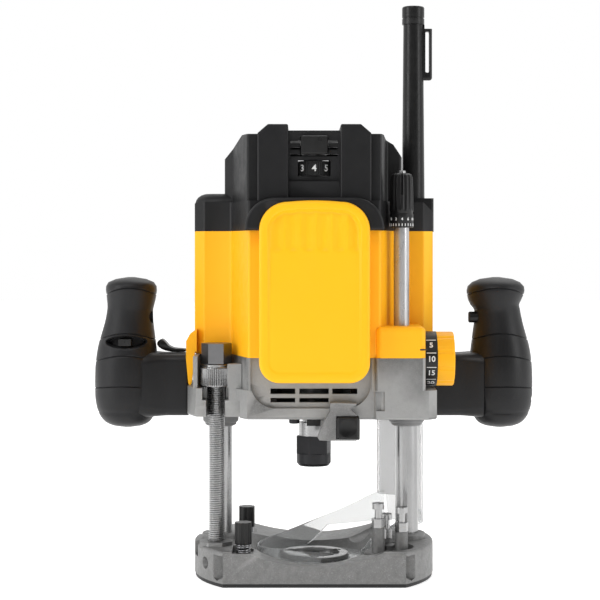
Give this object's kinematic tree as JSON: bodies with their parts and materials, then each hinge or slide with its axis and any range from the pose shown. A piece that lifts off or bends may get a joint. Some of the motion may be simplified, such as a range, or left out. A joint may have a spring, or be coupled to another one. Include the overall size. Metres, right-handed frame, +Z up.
{
  "type": "plunge router",
  "caption": "Two-handle plunge router: a sprung motor carriage on two columns over a base, with turret and rod depth stop, height rod, collet and clear dust shroud.",
  "frame": {"origin": "on the spindle axis at the sole of the base", "axes": "+Z up along the spindle axis, -Y to the front cover and controls, +X towards the depth stop"},
  "size_m": [0.3088, 0.153, 0.4],
  "materials": {
    "cast_grey": "shot-blasted die casting",
    "black_sole": "matt phenolic",
    "steel": "ground steel",
    "dark_steel": "oiled machined steel",
    "chrome": "polished chrome",
    "clear_plastic": "clear moulded plastic",
    "spring_steel": "spring wire",
    "yellow_plastic": "satin moulded plastic",
    "black_plastic": "satin moulded plastic",
    "grip_rubber": "soft satin overmould",
    "button_plastic": "smooth moulded plastic",
    "bronze": "sintered bronze",
    "seal_rubber": "moulded seal",
    "black_steel": "black oxide",
    "copper": "enamelled wire",
    "board": "circuit board"
  },
  "bodies": {
    "base": {"base_casting": "cast_grey", "sub_base_plate": "black_sole", "sub_base_screws": "steel", "guide_bush_ring": "steel", "left_guide_column": "steel", "right_guide_column": "steel", "threaded_height_rod": "dark_steel", "dust_shroud": "clear_plastic", "plunge_springs": "spring_steel", "turret_pivot_screw": "steel", "fence_clamp_springs": "spring_steel"},
    "turret": {"turret_disc": "cast_grey", "turret_stop_bolts": "steel", "turret_lock_nuts": "steel"},
    "front_fence_clamp": {"front_fence_clamp_knob": "button_plastic"},
    "rear_fence_clamp": {"rear_fence_clamp_knob": "button_plastic"},
    "stop_nut": {"knurled_stop_nut": "steel"},
    "lock_nut": {"hexagon_lock_nut": "dark_steel"},
    "spindle": {"spindle_shaft": "steel", "rotor_core": "dark_steel", "commutator": "copper", "cooling_fan": "black_plastic", "collet": "steel", "collet_nut": "black_steel"},
    "depth_rod": {"depth_rod": "chrome"},
    "fine_adjuster": {"fine_adjust_knob": "button_plastic"},
    "depth_drive": {"depth_drive_knob": "yellow_plastic", "depth_scale_ring": "button_plastic"},
    "spindle_lock": {"spindle_lock_button": "button_plastic"},
    "power_button": {"power_button": "button_plastic"},
    "slide_switch": {"slide_switch": "button_plastic"},
    "plunge_lock": {"plunge_lock_lever": "button_plastic"},
    "speed_dial": {"speed_dial": "button_plastic"},
    "top_button": {"top_button": "button_plastic"},
    "carriage": {"carriage_casting": "cast_grey", "column_bushes": "bronze", "column_seals": "seal_rubber", "motor_housing": "yellow_plastic", "front_cover": "yellow_plastic", "top_housing": "black_plastic", "housing_screws": "steel", "cord_guide_tube": "button_plastic", "cord_guide_cap": "button_plastic", "spindle_lock_bracket": "cast_grey", "left_handle_body": "grip_rubber", "right_handle_body": "grip_rubber", "left_grip": "grip_rubber", "right_grip": "grip_rubber", "left_grip_cap": "grip_rubber", "right_grip_cap": "grip_rubber", "handle_bolts": "steel", "stator_core": "dark_steel", "field_windings": "copper", "lower_bearing": "steel", "upper_bearing": "steel", "brush_holders": "bronze", "speed_control_board": "board"}
  },
  "joints": [
    {"name": "plunge", "type": "slide", "parent": "base", "child": "carriage", "axis": [0, 0, 1], "range_m": [-0.068, 0], "stiffness_N_per_m": 600, "springref_m": 0.14, "deforming": ["plunge_springs"]},
    {"name": "turret_turn", "type": "hinge", "parent": "base", "child": "turret", "pos_m": [0.0505, -0.035, 0.02], "axis": [0, 0, 1], "continuous": true},
    {"name": "front_fence_clamp_turn", "type": "hinge", "parent": "base", "child": "front_fence_clamp", "pos_m": [-0.048, -0.038, 0.03], "axis": [0, 0, 1], "range_deg": [-180, 180]},
    {"name": "rear_fence_clamp_turn", "type": "hinge", "parent": "base", "child": "rear_fence_clamp", "pos_m": [-0.048, 0.038, 0.03], "axis": [0, 0, 1], "range_deg": [-180, 180]},
    {"name": "stop_nut_turn", "type": "hinge", "parent": "base", "child": "stop_nut", "pos_m": [-0.0667, -0.026, 0.14], "axis": [0, 0, 1], "continuous": true},
    {"name": "lock_nut_turn", "type": "hinge", "parent": "base", "child": "lock_nut", "pos_m": [-0.0667, -0.026, 0.154], "axis": [0, 0, 1], "continuous": true},
    {"name": "spindle_spin", "type": "hinge", "parent": "carriage", "child": "spindle", "pos_m": [0, 0, 0.12], "axis": [0, 0, 1], "continuous": true},
    {"name": "depth_slide", "type": "slide", "parent": "carriage", "child": "depth_rod", "axis": [0, 0, 1], "range_m": [-0.065, 0]},
    {"name": "depth_drive_turn", "type": "hinge", "parent": "carriage", "child": "depth_drive", "pos_m": [0.083, -0.0285, 0.151], "axis": [1, 0, 0], "range_deg": [0, 744]},
    {"name": "fine_adjust_turn", "type": "hinge", "parent": "depth_rod", "child": "fine_adjuster", "pos_m": [0.059, -0.0385, 0.26], "axis": [0, 0, 1], "range_deg": [-180, 180]},
    {"name": "spindle_lock_press", "type": "slide", "parent": "carriage", "child": "spindle_lock", "axis": [0, 1, 0], "range_m": [0, 0.004], "stiffness_N_per_m": 500, "springref_m": -0.008},
    {"name": "power_press", "type": "slide", "parent": "carriage", "child": "power_button", "axis": [1, 0, 0], "range_m": [0, 0.003], "stiffness_N_per_m": 300, "springref_m": -0.004},
    {"name": "slide_switch_slide", "type": "slide", "parent": "carriage", "child": "slide_switch", "axis": [1, 0, 0], "range_m": [-0.003, 0.003]},
    {"name": "plunge_lock_swing", "type": "hinge", "parent": "carriage", "child": "plunge_lock", "pos_m": [-0.094, 0.009, 0.153], "axis": [0, 0, 1], "range_deg": [0, 25]},
    {"name": "speed_dial_turn", "type": "hinge", "parent": "carriage", "child": "speed_dial", "pos_m": [0, -0.0335, 0.28], "axis": [0, 0, 1], "range_deg": [-120, 120]},
    {"name": "top_button_press", "type": "slide", "parent": "carriage", "child": "top_button", "axis": [0, 1, 0], "range_m": [0, 0.002], "stiffness_N_per_m": 400, "springref_m": -0.003}
  ],
  "couplings": [
    {"joint": "depth_slide", "follows": "depth_drive_turn", "m_per_rad": -0.005}
  ]
}
